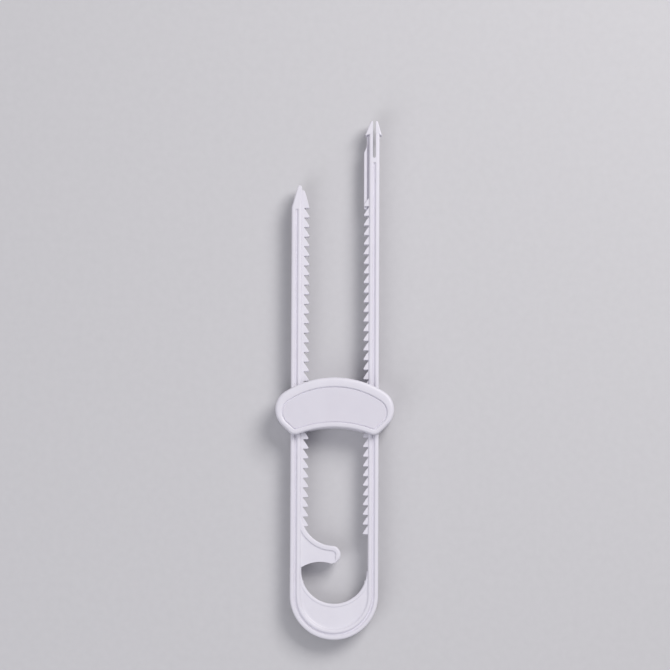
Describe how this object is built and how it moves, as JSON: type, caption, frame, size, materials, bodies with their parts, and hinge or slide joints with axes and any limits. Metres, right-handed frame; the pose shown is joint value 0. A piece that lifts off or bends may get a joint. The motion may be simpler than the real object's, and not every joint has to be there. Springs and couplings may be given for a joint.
{
  "type": "cabinet safety lock",
  "caption": "U-shaped toothed strap with a hooked closed end and a forked longer arm, and a crescent ratchet slider with squeeze buttons that holds cabinet knobs together.",
  "frame": {"origin": "middle of the lock's length and width, on the surface that its back lies on", "axes": "+X across the arms towards the long arm, +Y along the arms towards their open ends, +Z from the back of the slider to its front"},
  "size_m": [0.049, 0.215, 0.0138],
  "materials": {
    "white_plastic": "smooth injection-moulded white plastic with a soft gloss",
    "spring_steel": "bright drawn spring wire"
  },
  "bodies": {
    "strap": {"strap": "white_plastic"},
    "slider": {"front_cover": "white_plastic", "rear_cover": "white_plastic", "left_spring": "spring_steel", "right_spring": "spring_steel"},
    "left_button": {"left_button": "white_plastic"},
    "right_button": {"right_button": "white_plastic"}
  },
  "joints": [
    {"name": "slider_slide", "type": "slide", "parent": "strap", "child": "slider", "axis": [0, 1, 0], "range_m": [-0.04, 0.104]},
    {"name": "left_squeeze", "type": "slide", "parent": "slider", "child": "left_button", "axis": [1, 0, 0], "range_m": [0, 0.0024], "stiffness_N_per_m": 800, "springref_m": -0.002, "deforming": ["left_spring"]},
    {"name": "right_squeeze", "type": "slide", "parent": "slider", "child": "right_button", "axis": [-1, 0, 0], "range_m": [0, 0.0024], "stiffness_N_per_m": 800, "springref_m": -0.002, "deforming": ["right_spring"]}
  ]
}
